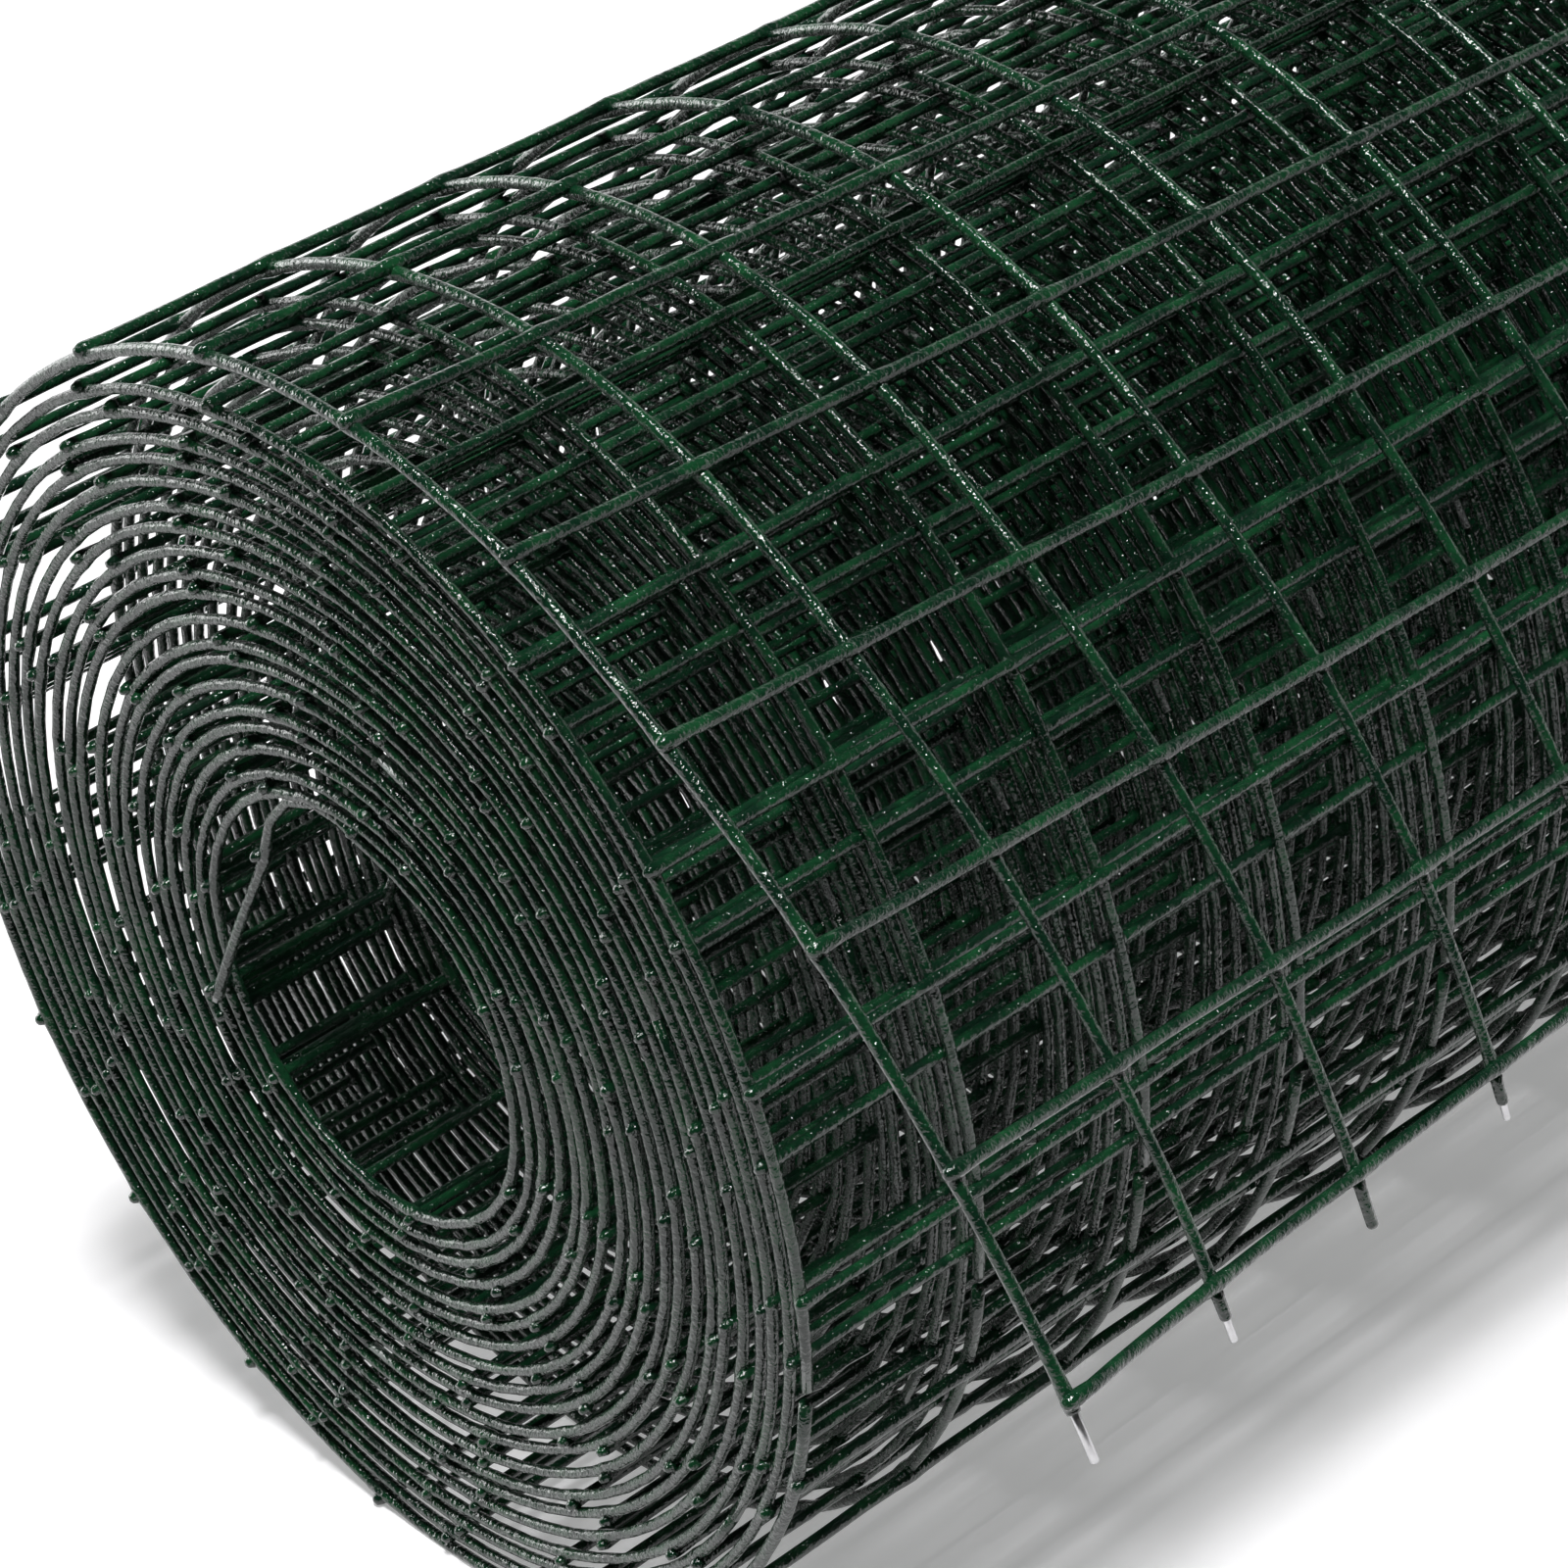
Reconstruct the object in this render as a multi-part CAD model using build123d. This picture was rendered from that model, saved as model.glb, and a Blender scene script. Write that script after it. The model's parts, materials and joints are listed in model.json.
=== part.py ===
from build123d import *
import math
import os

# A roll of green plastic-coated welded wire fencing, lying on its side.
# Millimetres. X runs along the roll, -Y is the side where the loose end hangs, Z is up.

# The welded mesh
WIRE = 1.4
MESH = 25.4
MESH_COUNT = 20
ROW_PITCH = 24.8
SHEET = 2.4
WIDTH = MESH_COUNT * MESH + WIRE

# The winding, drawn about a line inside the bore
TURNS = 19
INNER_R = 24.9
INNER_SHIFT = (-6.3, 4.7)
OUTER_R = 73.8
OUTER_SHIFT = (-3.6, 3.1)
OVAL = 2.7
OVAL_TILT = 52.3
BORE_R = 23.6
TURN_GAP = 1.2
GAP_DEPTH = 3.0
SIDES_PER_TURN = 20

# The roll rests on two neighbouring cross wires of its outermost tight turn
ROW_BEFORE_FRONT = 7.3
REST_TURN = 6.1

# The loose outermost turn
LIFT_OFF = 19.5
COVERED_ARCS = 6
LAYER_BITE = 0.6
SLIP = 3.1
LIFTED_RADII = (68.0, 82.7, 82.7, 176.0)
LIFTED_RUNS = (20.0, 75.0, 75.0, 90.0)
CUT_END = 7.0
CLOSED_X = 320.0
CLOSED_SKEW = 12.0


def turn_point(turn, outset=0.0, layers_out=0.0):
    """A point of the winding, counted in turns out from the bore: down the front, up the back."""
    share = (turn + layers_out) / TURNS
    angle = math.radians(180 + 360 * turn)
    across_y = INNER_SHIFT[0] + (OUTER_SHIFT[0] - INNER_SHIFT[0]) * share
    up_z = INNER_SHIFT[1] + (OUTER_SHIFT[1] - INNER_SHIFT[1]) * share
    oval = OVAL * share * math.cos(2 * (angle - math.radians(OVAL_TILT)))
    radius = INNER_R + (OUTER_R - INNER_R) * share + oval + outset
    radius += across_y * math.cos(angle) + up_z * math.sin(angle)
    return (radius * math.cos(angle), radius * math.sin(angle))


def turn_steps(first, last):
    """Places along the winding, evenly spaced between two counts of turns."""
    count = round((last - first) * SIDES_PER_TURN)
    return [first + (last - first) * step / count for step in range(count + 1)]


def across(sketch_face, x):
    """Stand a face drawn as (y, z) across the roll at a place along it."""
    return Plane(origin=(x, 0, 0), x_dir=(0, 1, 0), z_dir=(1, 0, 0)) * sketch_face


def run_along(turn, run):
    """The count of turns that lies a run further along the winding, or back for a negative run."""
    radius = math.hypot(*turn_point(turn))
    middle = turn + run / 2 / (math.tau * radius)
    return turn + run / (math.tau * math.hypot(*turn_point(middle)))


def bare_rows():
    """The outermost tight turn's cross wires that the loose turn leaves bare, as counts of turns."""
    rows = [run_along(TURNS, ROW_PITCH - ROW_BEFORE_FRONT)]
    while run_along(rows[-1], ROW_PITCH) < LIFT_OFF:
        rows.append(run_along(rows[-1], ROW_PITCH))
    return rows


def turn_arcs(turns, outset):
    """Arcs along the winding between counts of turns."""
    arcs = []
    for first, last in zip(turns, turns[1:]):
        on_arc = (first, (first + last) / 2, last)
        arcs.append(ThreePointArc(*(turn_point(turn, outset) for turn in on_arc)))
    return arcs


def wound_body():
    """The tight turns, flat between the cross wires they rest on, stepping off at the back."""
    rows = bare_rows()
    first = LIFT_OFF - 1
    size = (rows[0] - first) / COVERED_ARCS
    covered = turn_arcs([first + size * step for step in range(COVERED_ARCS + 1)], SHEET / 2)
    bare = Polyline(*(turn_point(turn, SHEET / 2) for turn in rows + [LIFT_OFF]))
    step = Line(bare @ 1, covered[0] @ 0)
    return extrude(across(Face(Wire([*covered, *bare.edges(), step])), 0), WIDTH, dir=(1, 0, 0))


def lifted_line():
    """The middle of the loose sheet at the near end, as (centre, radius, first and last angle) of its arcs."""
    point = turn_point(LIFT_OFF)
    ahead = turn_point(LIFT_OFF + 0.01)
    heading = math.degrees(math.atan2(ahead[1] - point[1], ahead[0] - point[0]))
    runs = LIFTED_RUNS[:-1] + (LIFTED_RUNS[-1] + CUT_END,)
    arcs = []
    for radius, run in zip(LIFTED_RADII, runs):
        centre = circle_point(point, radius, heading + 90)
        first = heading - 90
        last = first + math.degrees(run / radius)
        arcs.append((centre, radius, first, last))
        point = circle_point(centre, radius, last)
        heading = last + 90
    return arcs


def circle_point(centre, radius, degrees):
    """The point of a circle at an angle from +Y towards +Z, in the section's plane."""
    turn = math.radians(degrees)
    return (centre[0] + radius * math.cos(turn), centre[1] + radius * math.sin(turn))


def lifted_side(outset):
    """One side of the loose sheet where it stands off the roll."""
    side = []
    for centre, radius, first, last in lifted_line():
        angles = (first, (first + last) / 2, last)
        side.append(ThreePointArc(*(circle_point(centre, radius + outset, a) for a in angles)))
    return side


def closed_side(outset):
    """One side of the loose sheet where it lies on the roll, in as many arcs."""
    turns = [LIFT_OFF]
    for run in LIFTED_RUNS[:-1] + (LIFTED_RUNS[-1] + CUT_END - CLOSED_SKEW,):
        turns.append(turns[-1] + run / (math.tau * (OUTER_R + SHEET)))
    return turn_arcs(turns, outset)


def sheet_section(x, side):
    """The loose sheet cut across at one place along the roll."""
    outside = side(SHEET / 2)
    inside = side(-SHEET / 2 - LAYER_BITE)
    root = Line(inside[0] @ 0, outside[0] @ 0)
    cut = Line(outside[-1] @ 1, inside[-1] @ 1)
    return across(Face(Wire([root, *outside, cut, *inside])), x)


def loose_turn():
    """The outermost turn: lifted off at the near end, back on the roll further along."""
    near = sheet_section(-SLIP, lifted_side)
    closed = sheet_section(CLOSED_X, closed_side)
    lifted = loft([near, closed], ruled=True)
    lying = extrude(closed, WIDTH - CLOSED_X, dir=(1, 0, 0))
    return lifted + lying


def turn_gap(x):
    """The spiral gap between the turns, as it shows on one end of the roll."""
    turns = turn_steps(0, LIFT_OFF - 1)
    inner = [turn_point(turn, -TURN_GAP / 2, 0.5) for turn in turns]
    outer = [turn_point(turn, TURN_GAP / 2, 0.5) for turn in reversed(turns)]
    outline = Polyline(*inner, *outer, close=True)
    return extrude(across(Face(Wire(outline.edges())), x), GAP_DEPTH, dir=(1, 0, 0))


def fencing_roll():
    """The whole roll with its bore and the turns cut into both ends."""
    roll = wound_body() + loose_turn()
    bore = across(Pos(*INNER_SHIFT) * Circle(BORE_R), -2 * SLIP)
    roll -= extrude(bore, WIDTH + 4 * SLIP, dir=(1, 0, 0))
    roll -= turn_gap(0)
    roll -= turn_gap(WIDTH - GAP_DEPTH)
    return roll


roll = Rot(X=REST_TURN) * fencing_roll()
box = roll.bounding_box()
roll = Pos(-box.center().X, -box.center().Y, -box.min.Z) * roll
os.makedirs("parts", exist_ok=True)
export_step(roll, "parts/fencing_roll.step")
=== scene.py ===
import json
import math
import random

import bpy
from mathutils import Euler, Matrix, Quaternion, Vector


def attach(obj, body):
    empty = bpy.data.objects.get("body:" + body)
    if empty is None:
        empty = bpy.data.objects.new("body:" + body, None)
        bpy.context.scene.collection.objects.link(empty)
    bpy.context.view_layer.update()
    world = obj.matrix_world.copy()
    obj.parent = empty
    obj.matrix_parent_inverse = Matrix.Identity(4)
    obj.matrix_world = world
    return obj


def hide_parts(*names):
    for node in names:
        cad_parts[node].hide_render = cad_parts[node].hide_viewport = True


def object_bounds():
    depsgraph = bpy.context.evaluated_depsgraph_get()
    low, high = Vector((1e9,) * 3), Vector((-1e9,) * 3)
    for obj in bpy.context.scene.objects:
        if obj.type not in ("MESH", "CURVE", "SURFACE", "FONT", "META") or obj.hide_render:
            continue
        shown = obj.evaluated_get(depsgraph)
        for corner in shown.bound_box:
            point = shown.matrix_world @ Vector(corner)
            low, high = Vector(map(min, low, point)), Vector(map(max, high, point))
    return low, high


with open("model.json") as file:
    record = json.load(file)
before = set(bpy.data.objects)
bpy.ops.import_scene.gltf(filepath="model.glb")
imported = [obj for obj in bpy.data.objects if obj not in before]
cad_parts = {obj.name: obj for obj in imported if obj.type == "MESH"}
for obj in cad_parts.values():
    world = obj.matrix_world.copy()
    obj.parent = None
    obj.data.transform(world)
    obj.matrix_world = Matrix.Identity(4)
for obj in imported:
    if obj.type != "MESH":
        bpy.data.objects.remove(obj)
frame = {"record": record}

bl_info = {
    "name": "Wire Fencing Roll",
    "version": (1, 0, 0),
    "blender": (4, 5, 0),
    "location": "3D View > Sidebar > Fencing",
    "description": "Winds a roll of plastic-coated welded mesh around its CAD model",
    "category": "Object",
}

MM = 0.001
NODE = "fencing_roll"
CAD_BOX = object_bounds()
BORE_CENTRE = Vector(frame["record"]["mounts"][0]["pos_m"])

# The camera, from the photograph
CAMERA_PLACE = (-0.51895, -0.36534, 0.40573)
CAMERA_TILT = (56.811, 4.205, -43.471)
CAMERA_LENS = 117.8

# The floor, its glow and the light from all round, where white is 1
FLOOR_SIZE = 6
WORLD_LIGHT = 0.02
FLOOR_GLOW = 0.32
FLOOR_BOUNCE = (0.3, 0.3, 0.3)

# How the white backdrop fades out upwards and towards the front, as places and levels
BACKDROP_HEIGHT = ((0.25, 1), (0.55, 0))
BACKDROP_DEPTH = ((0.0, 0), (0.4, 1))

# The lamps: name, place, what they face, width and length, and watts
LAMPS = (
    ("overhead", (-0.5, -0.16, 2.6), (-0.05, 0, 0.08), (0.5, 0.85), 74),
    ("side_light", (-0.7, 2.0, 0.45), (-0.2, 0, 0.08), (1.6, 0.8), 24),
)

# Sides of the wires' cross-sections
CORE_SIDES = 12
LOOSE_SIDES = 10
EDGE_SIDES = 8
LINE_SIDES = 6
CROSS_SIDES = 5

# The pieces that the tight turns are wound from: name, share of the rows it ends at, sides if fine
TIGHT_PIECES = (
    ("core_turns", 0.214, 0),
    ("inner_turns", 0.428, 0),
    ("middle_turns", 0.642, 0),
    ("later_turns", 0.856, 0),
    ("outer_turns", 1.0, EDGE_SIDES),
)

# The coating at a crossing: millimetres from it, and how much of its swelling is left there
SWELLING = ((2.6, 0.125), (1.2, 0.6154))
FINE_PLACE = 0.55

# The rounded end of a cross wire: millimetres past the edge wire, and shares of the swollen radius
NUB = ((-1.4, 0.3), (-1.2, 0.66), (-0.55, 0.97))

# The coating on a cut end: millimetres past the last row, and shares of the wire's radius
SLEEVE_ROOT = (0.8, 1.16)
SLEEVE_NECK = (1.9, 1.03)
SLEEVE_TIP = (0.3, 0.8)
SHORT_SLEEVE = 2.5
LEAST_SLEEVE = 1.0

# The bare core of a cut end: where it starts, its tip, and its length under a whole coating
CORE_ROOT = 0.5
CORE_TIP = (0.12, 0.75)
COVERED_CORE = 0.985

# Small bends in the mesh: direction, size and spacing in millimetres
BENDS = (("Y", 0.5, 22), ("X", 0.7, 50), ("Z", 0.5, 40))

# Spacing of a guide's points: as shares of a turn, and in millimetres on the loose end
TURN_STEP = 0.012
LOOSE_TURN_STEP = 0.02
LOOSE_STEP = 4

# How far the guides run on past the front, in turns
TIGHT_OVERRUN = 0.05
CLOSED_OVERRUN = 1.4

# Where line wires are cut, past a row, and how near two points are one, in millimetres
TRIM = 1.0
SAME_POINT = 0.01

# Patterns per metre, and the heights of the lumps in metres
PATCHES = 220
LUMPS = 1100
GRAIN = 2600
SHINE = 900
SPOTS = 1400
LUMP_HEIGHT = 0.0004
SPOT_HEIGHT = 0.00005

# The coating: its patches as places and levels, how much of its bumps is lumps, and its gloss
PATCH_EDGES = ((0.42, 0), (0.72, 0.8))
LUMP_SHARE = 0.7
COATING_IOR = 1.6
COATING_ROUGHNESS = 0.015
ROUGHER_PLACES = 0.08

# The zinc: how dull its spots are, how rough it is, and how far the spots stand out
DULL_SHARE = 0.5
ZINC_ROUGHNESS = 0.22
ROUGHER_SPOTS = 0.25
SPOT_BUMP = 0.2

# The slow waves in the spacing of the turns: radians a turn, where they start, and their fades
SLOW_WAVE = 2.1
SLOW_WAVE_LEAN = 0.9
QUICK_WAVE = 4.7
QUICK_WAVE_START = 1.3
QUICK_WAVE_SHARE = 0.6
WAVE_FADE_IN = 8
WAVE_FADE_OUT = 6


def length_property(name, description, default):
    """A size in metres, written here in millimetres."""
    return bpy.props.FloatProperty(
        name=name,
        description=description,
        default=default * MM,
        unit="LENGTH",
        subtype="DISTANCE",
        precision=5,
    )


def colour_property(name, description, default):
    """A colour without its alpha."""
    return bpy.props.FloatVectorProperty(
        name=name, description=description, default=default, size=3, subtype="COLOR", min=0, max=1
    )


class MeshSizes(bpy.types.PropertyGroup):
    """The welded mesh, before it is rolled up."""

    coated: length_property("Coated wire", "Diameter of a coated wire in the tight turns", 1.32)
    thick: length_property("Thicker wire", "Diameter of a coated wire in the loose turn", 1.5)
    core: length_property("Bare wire", "Diameter of the zinc-coated steel core", 0.93)
    lift: length_property("Wire centres", "From the line wires' middle to the cross wires'", 0.78)
    pitch: length_property("Mesh width", "From one line wire to the next", 25.4)
    row_pitch: length_property("Row pitch", "From one cross wire to the next", 24.79)
    weld: bpy.props.FloatProperty(
        name="Weld", description="Coating over a crossing, as a share of the wire", default=1.24
    )
    cut_end: length_property("Cut end", "How far the line wires stand past the last row", 6.8)
    line_wires: bpy.props.IntProperty(
        name="Line wires", description="Wires side by side across the roll", default=21
    )


class WindingSizes(bpy.types.PropertyGroup):
    """The line that the mesh is wound along, as radii about a line inside the bore."""

    turns: bpy.props.IntProperty(
        name="Turns", description="Turns that lie tight, up to the front of the roll", default=19
    )
    inner_radius: length_property("Inner radius", "Mean radius of the innermost turn", 24.9)
    outer_radius: length_property("Outer radius", "Mean radius of the outermost tight turn", 73.8)
    inner_back: length_property("Bore back", "How far the bore's middle lies to the back", -6.3)
    inner_up: length_property("Bore up", "How far the bore's middle lies up", 4.7)
    outer_back: length_property("Outside back", "How far the outside's middle lies back", -3.6)
    outer_up: length_property("Outside up", "How far the outside's middle lies up", 3.1)
    oval: length_property("Oval", "How far the outside is squashed out of round", 2.7)
    oval_tilt: bpy.props.FloatProperty(
        name="Oval's tilt",
        description="Direction in which the roll is widest",
        default=math.radians(52.3),
        subtype="ANGLE",
    )
    uneven: length_property("Unevenness", "How far a turn strays from an even spacing", 0.3)
    last_row: length_property("Row before front", "Last tight row, short of the front", 7.3)
    loose_rows: bpy.props.IntProperty(
        name="Loose rows", description="Rows from the front of the roll to the cut end", default=20
    )
    lift_off: bpy.props.FloatProperty(
        name="Lift-off", description="Turn at which the loose end leaves the roll", default=19.5
    )
    rest_turn: bpy.props.FloatProperty(
        name="Rest turn",
        description="How far the roll is turned to rest on two of its cross wires",
        default=math.radians(6.1),
        subtype="ANGLE",
    )
    slip: length_property("Slip", "How far the loose turn has slid out at the near end", 3.1)
    slip_start: length_property("Slip start", "Sheet past the front before it slides", 240)
    slip_run: length_property("Slip run", "Length of sheet over which it slides out", 170)
    closed: length_property("Closed from", "Where along the roll the loose turn lies on it", 400)
    closing: bpy.props.FloatProperty(
        name="Closing", description="Power that the loose turn closes by", default=0.75
    )
    skew: length_property("Skew", "How far the loose rows lag at the closed end", 6)


class CoatingColours(bpy.types.PropertyGroup):
    """Colours of the coating and the bare wire."""

    deep: colour_property("Deep green", "The coating's main colour", (0.0035, 0.023, 0.011))
    bright: colour_property("Bright green", "Patches of thinner coating", (0.01, 0.08, 0.027))
    zinc: colour_property("Zinc", "The bare core at the cut ends", (0.62, 0.62, 0.63))
    dull: colour_property("Dull zinc", "Duller spots on the bare core", (0.4, 0.4, 0.4))
    floor: colour_property("Floor", "The floor under the roll", (0.82, 0.81, 0.825))


# The loose end, from where it leaves the roll: radii and lengths of its arcs
LIFTED_ARCS = ((62.0, 20.0), (84.0, 150.0), (176.0, 100.0))

# The inner end of the sheet, across and up from the winding's middle
INNER_END = (
    (20.3, -9.3),
    (16.7, 1.8),
    (14.1, 9.1),
    (10.9, 17.5),
    (9.9, 22.2),
    (8.5, 25.3),
    (6.2, 28.1),
    (3.0, 30.1),
    (-1.6, 31.0),
)
INNER_START = -0.2
INNER_BEND = 3
INNER_SLIP = 2.0
COATING_SEED = 11

# Coating left on the cut ends nearest the loose corner, as a share of their length, then on others
CUT_COATING = (0.2, 0.62, 1.0, 0.7)
OTHER_COATING = (0.2, 0.45, 0.62, 0.75, 1.0)


def turn_point(winding, turn):
    """A point of the winding, counted in turns out from the bore: down the front, up the back."""
    share = turn / winding.turns
    angle = math.pi + math.tau * turn
    back = winding.inner_back + (winding.outer_back - winding.inner_back) * share
    up = winding.inner_up + (winding.outer_up - winding.inner_up) * share
    radius = winding.inner_radius + (winding.outer_radius - winding.inner_radius) * share
    radius += winding.oval * share * math.cos(2 * (angle - winding.oval_tilt))
    radius += back * math.cos(angle) + up * math.sin(angle)
    # Slow waves in the spacing of the turns, which fade out at the bore and on the outside
    fade = max(0.0, 1 - share**WAVE_FADE_OUT) * min(1.0, share * WAVE_FADE_IN)
    slow = math.sin(SLOW_WAVE * turn + SLOW_WAVE_LEAN * math.sin(angle))
    quick = math.sin(QUICK_WAVE * turn + QUICK_WAVE_START)
    radius += winding.uneven * fade * (slow + QUICK_WAVE_SHARE * quick)
    return Vector((radius * math.cos(angle), radius * math.sin(angle), 0))


def steps(first, last, size):
    """Evenly spaced values from one to another, about a size apart."""
    count = max(1, round((last - first) / size))
    return [first + (last - first) * step / count for step in range(count + 1)]


def lifted_points(winding):
    """The near end's loose line: along the roll, then arcs that run on from each other."""
    turns = steps(winding.turns, winding.lift_off, LOOSE_TURN_STEP)
    points = [turn_point(winding, turn) for turn in turns]
    heading = (points[-1] - turn_point(winding, winding.lift_off - 0.001)).normalized()
    for radius, run in LIFTED_ARCS:
        places = steps(0, run * MM, LOOSE_STEP * MM)
        for place, next_place in zip(places, places[1:]):
            size = next_place - place
            half_turn = Quaternion((0, 0, 1), size / (radius * MM) / 2)
            heading.rotate(half_turn)
            points.append(points[-1] + heading * size)
            heading.rotate(half_turn)
    return points


def line_length(points):
    """Length of a line of points."""
    return sum((b - a).length for a, b in zip(points, points[1:]))


def deselect():
    """Leave nothing selected, in object mode."""
    if bpy.context.object and bpy.context.object.mode != "OBJECT":
        bpy.ops.object.mode_set(mode="OBJECT")
    bpy.ops.object.select_all(action="DESELECT")


def only(piece):
    """Make one object the selected and active one."""
    deselect()
    piece.select_set(True)
    bpy.context.view_layer.objects.active = piece
    return piece


def joined(pieces, name):
    """Several objects as one mesh."""
    only(pieces[0])
    for piece in pieces[1:]:
        piece.select_set(True)
    if len(pieces) > 1:
        bpy.ops.object.join()
    pieces[0].name = name
    return pieces[0]


def copied(piece):
    """A copy with its own mesh."""
    only(piece)
    bpy.ops.object.duplicate()
    return bpy.context.object


def finished(piece, kind, name, **options):
    """Add a modifier, set it and apply it."""
    only(piece)
    modifier = piece.modifiers.new(name, kind)
    for key, value in options.items():
        setattr(modifier, key, value)
    bpy.ops.object.modifier_apply(modifier=modifier.name)
    return piece


def repeated(piece, count, offset):
    """Copies of a mesh at an even spacing, welded where their ends meet."""
    if count == 1:
        return piece
    return finished(
        piece,
        "ARRAY",
        "Repeat",
        count=count,
        use_relative_offset=False,
        use_constant_offset=True,
        constant_offset_displace=offset,
        use_merge_vertices=True,
        merge_threshold=SAME_POINT * MM,
    )


def drawn_wire(sides, along, centre, stations):
    """A wire as a circle extruded on from place to place, thicker where another crosses it."""
    deselect()
    place, radius = stations[0]
    turned = (0, math.pi / 2, 0) if along.x else (0, 0, 0)
    bpy.ops.mesh.primitive_circle_add(
        vertices=sides,
        radius=radius,
        location=centre + along * place,
        rotation=turned,
        enter_editmode=True,
    )
    for next_place, next_radius in stations[1:]:
        step = along * (next_place - place)
        bpy.ops.mesh.extrude_region_move(TRANSFORM_OT_translate={"value": step})
        swell = next_radius / radius
        value = (1, swell, swell) if along.x else (swell, swell, 1)
        bpy.ops.transform.resize(value=value, center_override=centre + along * next_place)
        place, radius = next_place, next_radius
    bpy.ops.object.mode_set(mode="OBJECT")
    bpy.ops.object.transform_apply()
    return bpy.context.object


def crossing(sizes, wire, half, fine):
    """Places and radii along one mesh of wire, with the coating's swelling at its crossing."""
    weld = sizes.weld * wire
    side = [(half, wire)]
    if fine:
        side.append((half * FINE_PLACE, wire))
    side += [(place * MM, wire + (weld - wire) * left) for place, left in SWELLING]
    before = [(-place, radius) for place, radius in side]
    return before + [(0, weld)] + side[::-1]


def edge_nub(sizes, wire, half, fine):
    """Places and radii of a cross wire's rounded end over the edge wire, up to mid-mesh."""
    tip = [(place * MM, sizes.weld * wire * share) for place, share in NUB]
    inside = crossing(sizes, wire, half, fine)
    return tip + inside[len(inside) // 2 :]


def closed_mesh(piece):
    """Weld doubles, close every open wire end and point all faces outwards."""
    only(piece)
    bpy.ops.object.mode_set(mode="EDIT")
    bpy.ops.mesh.select_all(action="SELECT")
    bpy.ops.mesh.remove_doubles(threshold=SAME_POINT * MM)
    bpy.ops.mesh.fill_holes(sides=CORE_SIDES)
    bpy.ops.mesh.select_all(action="SELECT")
    bpy.ops.mesh.normals_make_consistent(inside=False)
    bpy.ops.object.mode_set(mode="OBJECT")
    bpy.ops.object.shade_smooth()
    return piece


def line_wires(sizes, wire, place, rows, pitch, sides, fine, wires):
    """The wires that run round the roll, as a flat run of rows."""
    low, high, step = wires
    centre = Vector((place, sizes.lift / 2, low * sizes.pitch))
    unit = drawn_wire(sides, Vector((1, 0, 0)), centre, crossing(sizes, wire, pitch / 2, fine))
    row = repeated(unit, rows, (pitch, 0, 0))
    count = (high - low) // step + 1
    return repeated(row, count, (0, 0, sizes.pitch * step))


def cross_wires(sizes, wire, place, rows, pitch, sides, fine):
    """The wires along the roll, each ending in a nub over the two edge wires."""
    along = Vector((0, 0, 1))
    half = sizes.pitch / 2
    last = (sizes.line_wires - 1) * sizes.pitch
    start = Vector((place, -sizes.lift / 2, 0))
    nub = edge_nub(sizes, wire, half, fine)
    first_end = drawn_wire(sides, along, start, nub)
    back = [(-spot, radius) for spot, radius in nub[::-1]]
    other_end = drawn_wire(sides, along, start + along * last, back)
    inner = start + along * sizes.pitch
    cell = drawn_wire(sides, along, inner, crossing(sizes, wire, half, fine))
    cells = repeated(cell, sizes.line_wires - 2, (0, 0, sizes.pitch))
    row = joined([cells, first_end, other_end], "cross_wire")
    return repeated(row, rows, (pitch, 0, 0))


def slid(piece, amount, share):
    """Slide a flat sheet along the roll, by a share worked out from each vertex's place."""
    weighed(piece, "slid", share)
    return finished(
        piece,
        "DISPLACE",
        "Slip",
        direction="Z",
        mid_level=0,
        strength=-amount,
        vertex_group="slid",
    )


def trimmed(piece, place, towards):
    """Cut off the line wires just past a row, on the side away from the sheet."""
    only(piece)
    bpy.ops.object.mode_set(mode="EDIT")
    bpy.ops.mesh.select_all(action="SELECT")
    cut = (place + towards * TRIM * MM, 0, 0)
    bpy.ops.mesh.bisect(plane_co=cut, plane_no=(towards, 0, 0), clear_outer=True)
    bpy.ops.object.mode_set(mode="OBJECT")
    return piece


def coated_shares(sizes):
    """How much coating each cut end keeps, as a share of its length."""
    chance = random.Random(COATING_SEED)
    rest = [chance.choice(OTHER_COATING) for _ in range(sizes.line_wires)]
    return [*CUT_COATING, *rest[len(CUT_COATING) :]]


def cut_coatings(sizes, row, towards, shares):
    """The coating left on the line wires' cut ends, past their last row."""
    wire = sizes.thick / 2
    along = Vector((towards, 0, 0))
    root, root_share = SLEEVE_ROOT
    neck, neck_share = SLEEVE_NECK
    tip, tip_share = SLEEVE_TIP
    sleeves = []
    for number, share in enumerate(shares):
        end = share * sizes.cut_end
        if end < LEAST_SLEEVE * MM:
            continue
        stations = [(root * MM, wire * root_share), (min(end, neck * MM), wire * neck_share)]
        if end > SHORT_SLEEVE * MM:
            stations.append((end - tip * MM, wire))
        stations.append((end, wire * tip_share))
        centre = Vector((row, sizes.lift / 2, number * sizes.pitch))
        sleeves.append(drawn_wire(LOOSE_SIDES, along, centre, stations))
    return sleeves


def bare_cores(sizes, row, towards, shares):
    """The zinc-coated cores that stand out of the coating at the cut ends."""
    core = sizes.core / 2
    along = Vector((towards, 0, 0))
    tip, tip_share = CORE_TIP
    cores = []
    for number, share in enumerate(shares):
        end = sizes.cut_end * (1 if share < 1 else COVERED_CORE)
        stations = [(place, core) for place in (CORE_ROOT * MM, end / 2, end - tip * MM)]
        stations.append((end, core * tip_share))
        centre = Vector((row, sizes.lift / 2, number * sizes.pitch))
        cores.append(drawn_wire(CORE_SIDES, along, centre, stations))
    return closed_mesh(joined(cores, "bare_ends"))


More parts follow.
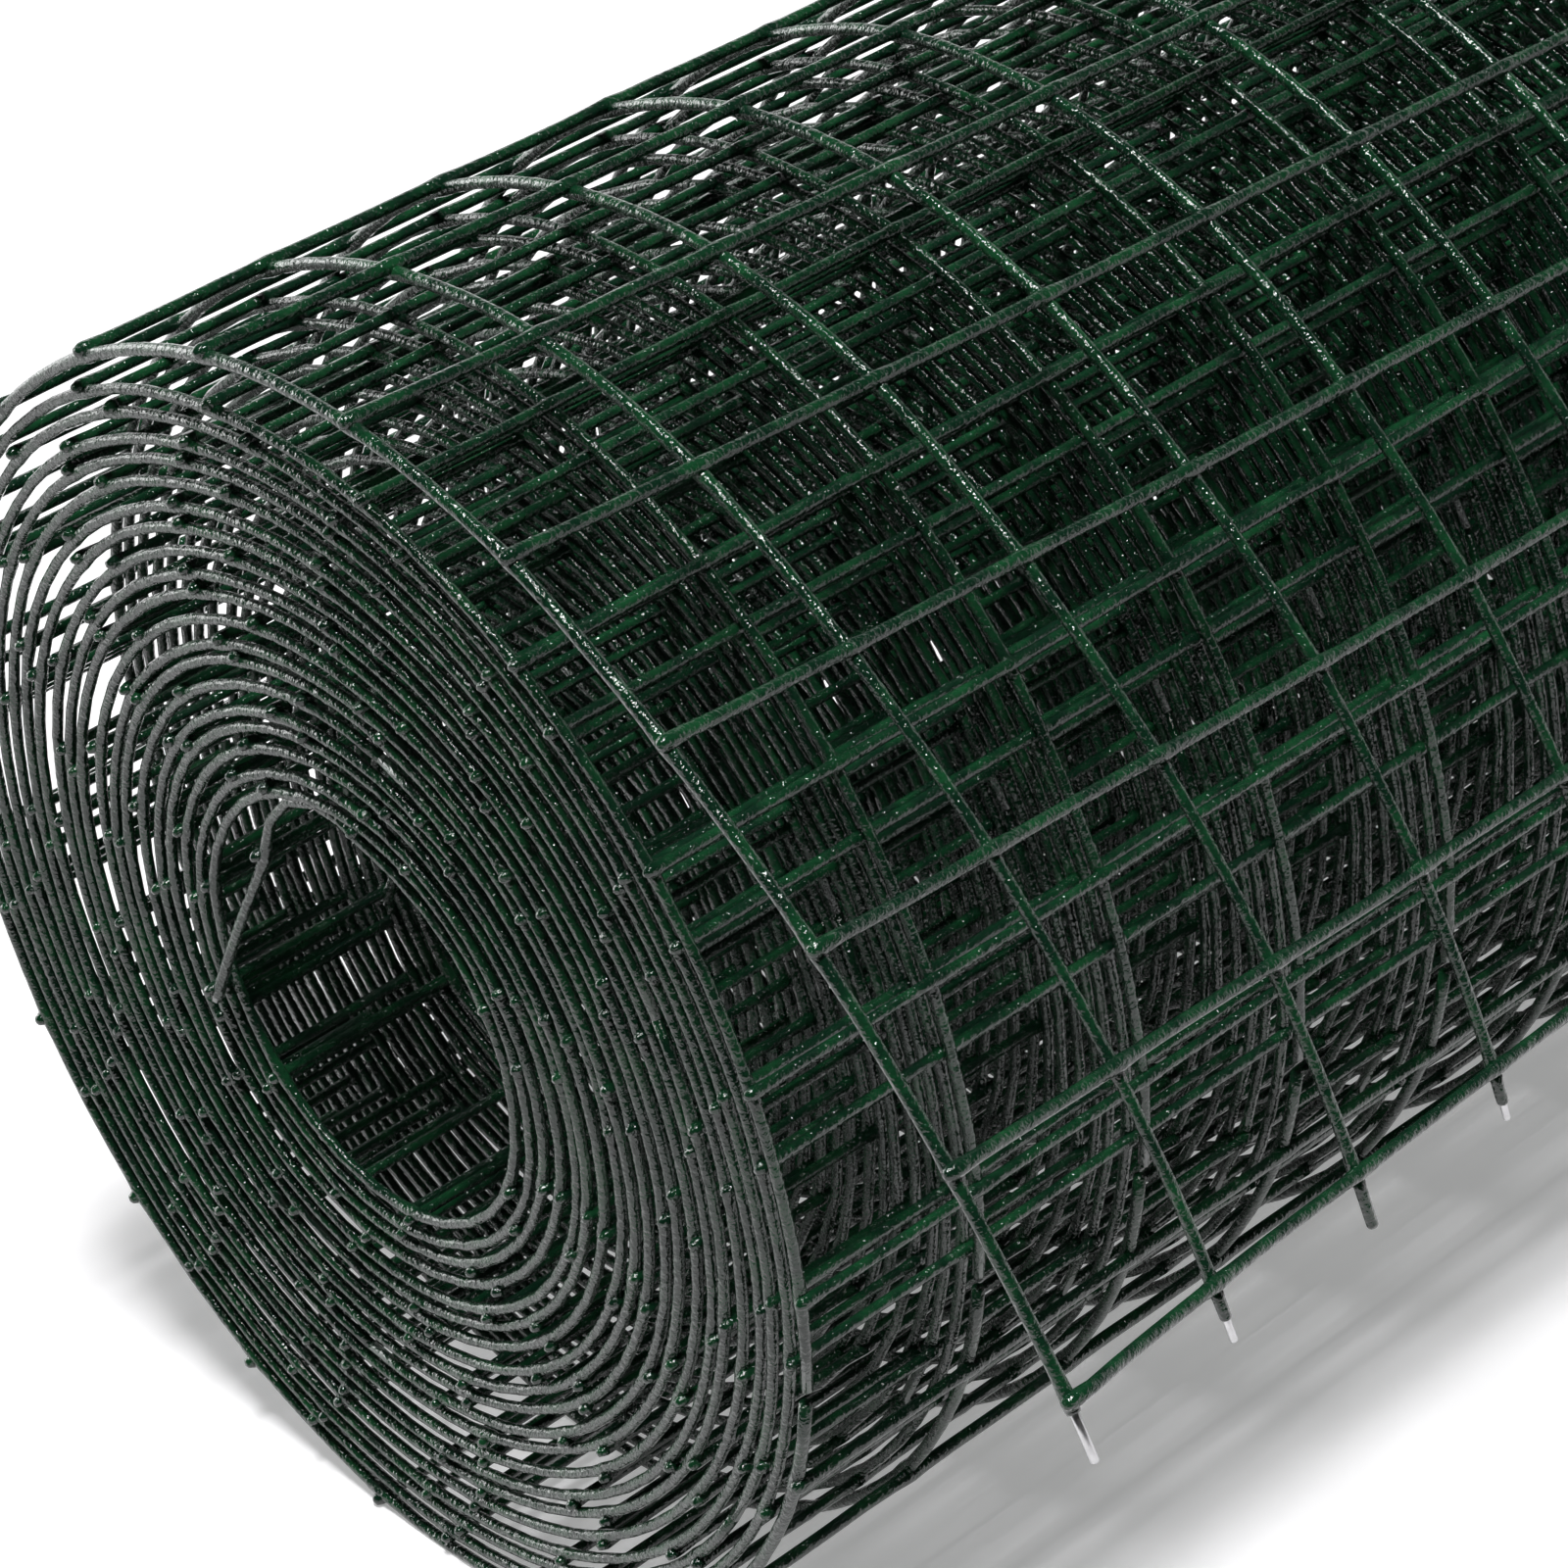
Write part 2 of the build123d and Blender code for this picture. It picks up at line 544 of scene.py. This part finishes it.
def roughened(piece):
    """Small bends in the flat mesh, as it comes off the welding line."""
    for axis, amount, spacing in BENDS:
        texture = bpy.data.textures.new("bends_" + axis, "CLOUDS")
        texture.noise_scale = spacing * MM
        finished(
            piece,
            "DISPLACE",
            "Bends",
            texture=texture,
            direction=axis,
            strength=amount * MM,
            mid_level=0.5,
            texture_coords="LOCAL",
        )
    return piece


def flat_sheet(sizes, name, place, rows, pitch, fine, cut=None):
    """A flat run of mesh: x along the sheet, y into the roll, z along the roll."""
    last = sizes.line_wires - 1
    wire = (sizes.thick if name == "loose_turn" else sizes.coated) / 2
    if fine:
        parts = [
            line_wires(sizes, wire, place, rows, pitch, fine, True, (0, last, 1)),
            cross_wires(sizes, wire, place, rows, pitch, fine, True),
        ]
    else:
        parts = [
            line_wires(sizes, wire, place, rows, pitch, EDGE_SIDES, True, (0, last, last)),
            line_wires(sizes, wire, place, rows, pitch, LINE_SIDES, False, (1, last - 1, 1)),
            cross_wires(sizes, wire, place, rows, pitch, CROSS_SIDES, False),
        ]
    sheet = joined(parts, name)
    if cut:
        row, towards, shares = cut
        trimmed(sheet, row, towards)
        sheet = joined([sheet, *cut_coatings(sizes, row, towards, shares)], name)
    return roughened(closed_mesh(sheet))


def guide(name, points):
    """A curve through points in the roll's section, for a sheet to bend along."""
    data = bpy.data.curves.new(name, "CURVE")
    data.dimensions = "2D"
    data.resolution_u = 4
    spline = data.splines.new("BEZIER")
    spline.bezier_points.add(len(points) - 1)
    for knot, point in zip(spline.bezier_points, points):
        knot.co = point
        knot.handle_left_type = "AUTO"
        knot.handle_right_type = "AUTO"
    curve = bpy.data.objects.new(name, data)
    bpy.context.scene.collection.objects.link(curve)
    return curve


def bent(piece, curve):
    """Bend a flat sheet along a guide."""
    return finished(piece, "CURVE", "Bend", object=curve, deform_axis="POS_X")


def stood_across(piece, sizes, winding):
    """Turn a section drawn flat so that it stands across the roll, at its place in the frame."""
    across = Euler((math.pi / 2, 0, math.pi / 2)).to_matrix()
    rest = Matrix.Rotation(winding.rest_turn, 3, "X")
    bore = rest @ Vector((0, winding.inner_back, winding.inner_up))
    only(piece)
    piece.rotation_euler = (rest @ across).to_euler()
    near = CAD_BOX[0].x + winding.slip + sizes.coated / 2
    piece.location = (near, BORE_CENTRE.y - bore.y, BORE_CENTRE.z - bore.z)
    bpy.ops.object.transform_apply()
    return piece


def tight_line(winding):
    """The inner end and the tight turns, as points, with the places of the bend and the front."""
    start = [Vector((across, up, 0)) * MM for across, up in INNER_END]
    end = winding.turns + TIGHT_OVERRUN
    points = start + [turn_point(winding, turn) for turn in steps(INNER_START, end, TURN_STEP)]
    past = [turn_point(winding, turn) for turn in steps(winding.turns, end, TURN_STEP)]
    bend = line_length(points[: INNER_BEND + 1])
    front = line_length(points) - line_length(past)
    return points, bend, front


class Value:
    """One output in a material's nodes. Maths on it adds Math nodes."""

    def __init__(self, finish, socket):
        self.finish = finish
        self.socket = socket

    def maths(self, operation, first, second):
        return self.finish.node("ShaderNodeMath", {"operation": operation}, {0: first, 1: second})

    def __add__(self, other):
        return self.maths("ADD", self, other)

    def __sub__(self, other):
        return self.maths("SUBTRACT", self, other)

    def __mul__(self, other):
        return self.maths("MULTIPLY", self, other)

    def __rsub__(self, other):
        return self.maths("SUBTRACT", other, self)

    __radd__ = __add__
    __rmul__ = __mul__


class Finish:
    """The nodes of one material or of the world."""

    def __init__(self, owner):
        owner.use_nodes = True
        self.owner = owner
        self.tree = owner.node_tree
        self.tree.nodes.clear()

    def node(self, kind, options, sockets, output=0):
        """A node of a type, with its options set first and its sockets then filled or linked."""
        node = self.tree.nodes.new(kind)
        for key, value in options.items():
            if key == "stops":
                set_stops(node.color_ramp, value)
            else:
                setattr(node, key, value)
        for key, value in sockets.items():
            if isinstance(value, Value):
                self.tree.links.new(value.socket, node.inputs[key])
            else:
                node.inputs[key].default_value = value
        return Value(self, node.outputs[output]) if node.outputs else None

    def mix(self, share, first, second):
        """Two colours mixed by a share from 0 to 1."""
        return self.node(
            "ShaderNodeMix", {"data_type": "RGBA"}, {0: share, 6: first, 7: second}, output=2
        )

    def noise(self, where, scale, detail):
        """A cloudy pattern from 0 to 1."""
        sockets = {"Vector": where, "Scale": scale, "Detail": detail}
        return self.node("ShaderNodeTexNoise", {}, sockets)

    def axis(self, direction, name):
        """One axis of a direction."""
        return self.node("ShaderNodeSeparateXYZ", {}, {0: direction}, output=name)

    def ramp(self, value, stops):
        """A value led through a ramp's places and levels."""
        return self.node("ShaderNodeValToRGB", {"stops": stops}, {0: value})

    def ray(self, kind):
        """1 for a kind of ray, such as one from the camera."""
        return self.node("ShaderNodeLightPath", {}, {}, output=f"Is {kind} Ray")

    def bump(self, height, distance, strength):
        """A surface direction that follows a height."""
        sockets = {"Strength": strength, "Distance": distance, "Height": height}
        return self.node("ShaderNodeBump", {}, sockets)


def set_stops(ramp, stops):
    """Give a ramp its stops, as places and grey levels."""
    for element, (place, level) in zip(ramp.elements, (stops[0], stops[-1])):
        element.position = place
        element.color = (level, level, level, 1)
    for place, level in stops[1:-1]:
        ramp.elements.new(place).color = (level, level, level, 1)


def rgba(colour):
    """A colour with full alpha."""
    return (*colour, 1.0)


def coating(colours):
    """Dark green plastic, glossy and a little lumpy, with patches of brighter green."""
    finish = Finish(bpy.data.materials.new("green_plastic_coating"))
    where = finish.node("ShaderNodeTexCoord", {}, {}, output=3)
    patch = finish.ramp(finish.noise(where, PATCHES, 3), PATCH_EDGES)
    base = finish.mix(patch, rgba(colours.deep), rgba(colours.bright))
    rough = finish.noise(where, SHINE, 3) * ROUGHER_PLACES + COATING_ROUGHNESS
    lumps = finish.noise(where, LUMPS, 2) * LUMP_SHARE
    grain = finish.noise(where, GRAIN, 2) * (1 - LUMP_SHARE)
    bump = finish.bump(lumps + grain, LUMP_HEIGHT, 1.0)
    surface = finish.node(
        "ShaderNodeBsdfPrincipled",
        {},
        {"Base Color": base, "Roughness": rough, "IOR": COATING_IOR, "Normal": bump},
    )
    finish.node("ShaderNodeOutputMaterial", {}, {"Surface": surface})
    return finish.owner


def bare_zinc(colours):
    """Bright zinc over steel, drawn lengthwise and cut across."""
    finish = Finish(bpy.data.materials.new("bare_zinc_wire"))
    where = finish.node("ShaderNodeTexCoord", {}, {}, output=3)
    spots = finish.noise(where, SPOTS, 3)
    base = finish.mix(spots * DULL_SHARE, rgba(colours.zinc), rgba(colours.dull))
    rough = spots * ROUGHER_SPOTS + ZINC_ROUGHNESS
    bump = finish.bump(spots, SPOT_HEIGHT, SPOT_BUMP)
    surface = finish.node(
        "ShaderNodeBsdfPrincipled",
        {},
        {"Base Color": base, "Metallic": 1.0, "Roughness": rough, "Normal": bump},
    )
    finish.node("ShaderNodeOutputMaterial", {}, {"Surface": surface})
    return finish.owner


def dressed(piece, material):
    """Give a finished piece its material and its place on the frame."""
    piece.data.materials.clear()
    piece.data.materials.append(material)
    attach(piece, "root")
    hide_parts(NODE)
    return piece


def material_named(name, make, colours):
    """A material made once and then shared."""
    return bpy.data.materials.get(name) or make(colours)


class FENCING_OT_tight_turns(bpy.types.Operator):
    """Wind the tight turns, from the bore to the front of the outermost one"""

    bl_idname = "fencing.tight_turns"
    bl_label = "Tight turns"

    def execute(self, context):
        sizes, winding, colours = settings(context)
        points, bend, front = tight_line(winding)
        curve = guide("winding_guide", points)
        pitch = even_pitch(sizes, winding, bend, front)
        total = round((front - winding.last_row - bend) / pitch) + 2
        done = 0
        first_row = bend - pitch
        cut = (first_row, -1, ())
        for name, share, fine in TIGHT_PIECES:
            until = round(total * share)
            place = first_row + done * pitch
            sheet = flat_sheet(sizes, name, place, until - done, pitch, fine, cut)
            if cut:
                slid(sheet, INNER_SLIP * MM, lambda spot: (bend - spot.x) / pitch)
                cut = None
            stood_across(bent(sheet, curve), sizes, winding)
            dressed(sheet, material_named("green_plastic_coating", coating, colours))
            done = until
        bpy.data.objects.remove(curve)
        return {"FINISHED"}


class FENCING_OT_loose_turn(bpy.types.Operator):
    """Wind the outermost turn, sprung loose at the near end, with its cut ends"""

    bl_idname = "fencing.loose_turn"
    bl_label = "Loose turn"

    def execute(self, context):
        sizes, winding, colours = settings(context)
        pitch = sizes.row_pitch
        place = pitch - winding.last_row
        cut = (cut_row(sizes, winding), 1, coated_shares(sizes))
        rows = winding.loose_rows
        sheet = flat_sheet(sizes, "loose_turn", place, rows, pitch, LOOSE_SIDES, cut)
        sheet = sprung(sheet, sizes, winding)
        dressed(sheet, material_named("green_plastic_coating", coating, colours))
        return {"FINISHED"}


class FENCING_OT_bare_ends(bpy.types.Operator):
    """Put the bare cores into the cut ends of the loose turn"""

    bl_idname = "fencing.bare_ends"
    bl_label = "Bare wire ends"

    def execute(self, context):
        sizes, winding, colours = settings(context)
        cores = bare_cores(sizes, cut_row(sizes, winding), 1, coated_shares(sizes))
        ends = roughened(cores)
        ends = sprung(ends, sizes, winding)
        dressed(ends, material_named("bare_zinc_wire", bare_zinc, colours))
        return {"FINISHED"}


def cut_row(sizes, winding):
    """The last row before the outer cut ends, measured along the sheet from the front."""
    return winding.loose_rows * sizes.row_pitch - winding.last_row


def even_pitch(sizes, winding, bend, front):
    """The row pitch that fits whole meshes between the inner bend and the last tight row."""
    run = front - winding.last_row - bend
    return run / round(run / sizes.row_pitch)


def weighed(piece, name, share):
    """Give every vertex a weight from 0 to 1, worked out from its place."""
    group = piece.vertex_groups.new(name=name)
    for vertex in piece.data.vertices:
        group.add([vertex.index], min(1.0, max(0.0, share(vertex.co))), "REPLACE")


def smooth_rise(share):
    """A rise from 0 to 1 that starts and ends level."""
    share = min(1.0, max(0.0, share))
    return share * share * (3 - 2 * share)


def sprung(sheet, sizes, winding):
    """A flat sheet bent twice, along the lifted and the closed line, and blended along the roll."""
    lifted = guide("lifted_guide", lifted_points(winding))
    turns = steps(winding.turns, winding.turns + CLOSED_OVERRUN, TURN_STEP)
    closed = guide("closed_guide", [turn_point(winding, turn) for turn in turns])
    start, slide = winding.slip_start, winding.slip_run
    slid(sheet, winding.slip, lambda spot: smooth_rise((spot.x - start) / slide))
    weighed(sheet, "lying", lambda spot: max(0.0, spot.z / winding.closed) ** winding.closing)
    lying = copied(sheet)
    bpy.ops.object.mode_set(mode="EDIT")
    bpy.ops.mesh.select_all(action="SELECT")
    run = winding.loose_rows * sizes.row_pitch
    bpy.ops.transform.resize(value=(1 - winding.skew / run, 1, 1), center_override=(0, 0, 0))
    bpy.ops.object.mode_set(mode="OBJECT")
    bent(lying, closed)
    bent(sheet, lifted)
    only(sheet)
    lying.select_set(True)
    bpy.ops.object.join_shapes()
    sheet.active_shape_key_index = 1
    key = sheet.active_shape_key
    key.vertex_group = "lying"
    key.value = 1.0
    bpy.ops.object.shape_key_remove(all=True, apply_mix=True)
    sheet.vertex_groups.clear()
    for spare in (lying, lifted, closed):
        bpy.data.objects.remove(spare)
    return stood_across(sheet, sizes, winding)


class FENCING_OT_stage(bpy.types.Operator):
    """Set the floor, the lights and the camera"""

    bl_idname = "fencing.stage"
    bl_label = "Stage"

    def execute(self, context):
        colours = settings(context)[2]
        deselect()
        bpy.ops.mesh.primitive_plane_add(size=FLOOR_SIZE, location=(0, 0, 0))
        floor = bpy.context.object
        floor.name = "floor"
        floor.data.materials.append(floor_white(colours))
        for name, place, aim, size, power in LAMPS:
            light(name, place, aim, size, power)
        world_light()
        tilt = [math.radians(angle) for angle in CAMERA_TILT]
        bpy.ops.object.camera_add(location=CAMERA_PLACE, rotation=tilt)
        camera = bpy.context.object
        camera.data.lens = CAMERA_LENS
        camera.data.clip_start = 0.01
        context.scene.camera = camera
        context.scene.view_settings.view_transform = "Standard"
        return {"FINISHED"}


def light(name, place, aim, size, power):
    """A soft lamp that faces a point."""
    direction = Vector(aim) - Vector(place)
    turned = direction.to_track_quat("-Z", "Y").to_euler()
    bpy.ops.object.light_add(type="AREA", location=place, rotation=turned)
    lamp = bpy.context.object
    lamp.name = name
    lamp.data.shape = "RECTANGLE"
    lamp.data.size, lamp.data.size_y = size
    lamp.data.energy = power


def floor_white(colours):
    """A pale floor with the roll's shadow on it. The light that it throws back is dimmer."""
    finish = Finish(bpy.data.materials.new("pale_floor"))
    seen = finish.ray("Camera") + finish.ray("Glossy") + finish.ray("Transmission")
    colour = finish.mix(seen, rgba(FLOOR_BOUNCE), rgba(colours.floor))
    matte = finish.node("ShaderNodeBsdfDiffuse", {}, {"Color": colour})
    glow = finish.node("ShaderNodeEmission", {}, {"Color": (1, 1, 1, 1), "Strength": FLOOR_GLOW})
    lit = finish.node("ShaderNodeAddShader", {}, {0: matte, 1: glow})
    shown = finish.node("ShaderNodeMixShader", {}, {0: seen, 1: matte, 2: lit})
    finish.node("ShaderNodeOutputMaterial", {}, {"Surface": shown})
    return finish.owner


def world_light():
    """A little light from all round, and a white backdrop. Gloss shows it only behind the roll."""
    world = bpy.data.worlds.new("studio")
    bpy.context.scene.world = world
    finish = Finish(world)
    direction = finish.node("ShaderNodeTexCoord", {}, {}, output="Generated")
    backdrop = finish.ramp(finish.axis(direction, "Z"), BACKDROP_HEIGHT)
    depth = finish.axis(direction, "X") + finish.axis(direction, "Y")
    behind = finish.ramp(depth, BACKDROP_DEPTH)
    mirrored = finish.ray("Glossy") + finish.ray("Transmission")
    seen = finish.ray("Camera") + mirrored * behind
    strength = seen * backdrop * (1 - WORLD_LIGHT) + WORLD_LIGHT
    soft = finish.node("ShaderNodeBackground", {}, {"Color": (1, 1, 1, 1), "Strength": strength})
    finish.node("ShaderNodeOutputWorld", {}, {"Surface": soft})


class FENCING_PT_panel(bpy.types.Panel):
    """The roll's pieces and its stage"""

    bl_label = "Wire fencing roll"
    bl_idname = "FENCING_PT_panel"
    bl_space_type = "VIEW_3D"
    bl_region_type = "UI"
    bl_category = "Fencing"

    def draw(self, context):
        for operator in OPERATORS:
            self.layout.operator(operator.bl_idname)
        for group in settings(context):
            for name in group.__annotations__:
                self.layout.prop(group, name)


OPERATORS = (
    FENCING_OT_tight_turns,
    FENCING_OT_loose_turn,
    FENCING_OT_bare_ends,
    FENCING_OT_stage,
)
GROUPS = (MeshSizes, WindingSizes, CoatingColours)


def settings(context):
    """The mesh's sizes, the winding's and the colours."""
    scene = context.scene
    return scene.fencing_mesh, scene.fencing_winding, scene.fencing_colours


def register():
    for group in GROUPS:
        bpy.utils.register_class(group)
    bpy.types.Scene.fencing_mesh = bpy.props.PointerProperty(type=MeshSizes)
    bpy.types.Scene.fencing_winding = bpy.props.PointerProperty(type=WindingSizes)
    bpy.types.Scene.fencing_colours = bpy.props.PointerProperty(type=CoatingColours)
    for shown in (*OPERATORS, FENCING_PT_panel):
        bpy.utils.register_class(shown)


def unregister():
    for shown in (FENCING_PT_panel, *reversed(OPERATORS)):
        bpy.utils.unregister_class(shown)
    del bpy.types.Scene.fencing_colours
    del bpy.types.Scene.fencing_winding
    del bpy.types.Scene.fencing_mesh
    for group in reversed(GROUPS):
        bpy.utils.unregister_class(group)


def main():
    """Register the add-on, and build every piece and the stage."""
    register()
    bpy.ops.fencing.tight_turns()
    bpy.ops.fencing.loose_turn()
    bpy.ops.fencing.bare_ends()
    bpy.ops.fencing.stage()


if __name__ == "__main__":
    main()
